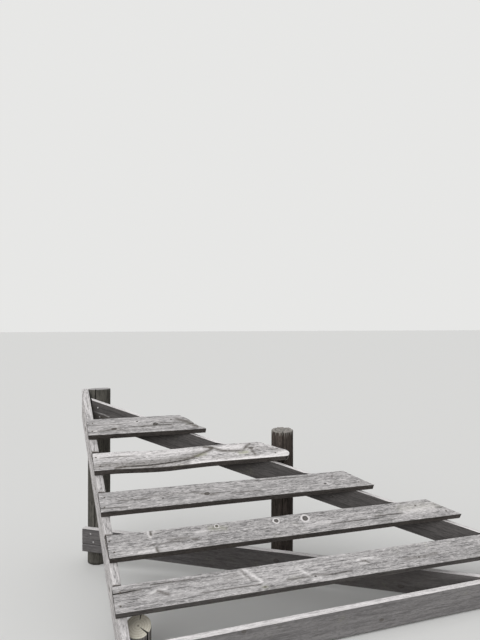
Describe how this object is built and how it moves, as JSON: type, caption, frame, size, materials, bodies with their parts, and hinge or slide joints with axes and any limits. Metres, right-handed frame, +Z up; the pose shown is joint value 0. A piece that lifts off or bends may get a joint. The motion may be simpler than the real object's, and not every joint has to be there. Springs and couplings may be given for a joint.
{
  "type": "wooden stile",
  "caption": "Low fan-shaped wooden stile of weathered plank treads let into notched stringers that spread from a round corner post to a board on edge.",
  "frame": {"origin": "middle of the footprint's bounding box, on the ground", "axes": "+X along the treads from the short left side to the far right corner, +Y from the front board back to the tall corner post, +Z up"},
  "size_m": [2.9366, 1.265, 1.1874],
  "materials": {
    "tread_wood": "bare, weathered silver grey",
    "stringer_wood": "bare, weathered silver grey",
    "board_wood": "bare, weathered grey",
    "shaded_plank_wood": "bare, weathered dark grey",
    "post_wood": "bare, weathered dark brown, grooved",
    "sawn_post_wood": "bare, freshly sawn pale end over grey sides"
  },
  "bodies": {
    "root": {"corner_post": "post_wood", "mid_post": "post_wood", "left_foot_post": "sawn_post_wood", "right_foot_post": "sawn_post_wood", "left_stringer": "stringer_wood", "right_stringer": "shaded_plank_wood", "tie_plank": "shaded_plank_wood", "front_board": "board_wood", "tread_1": "tread_wood", "tread_2": "tread_wood", "tread_3": "tread_wood", "tread_4": "tread_wood", "tread_5": "tread_wood"}
  },
  "joints": []
}
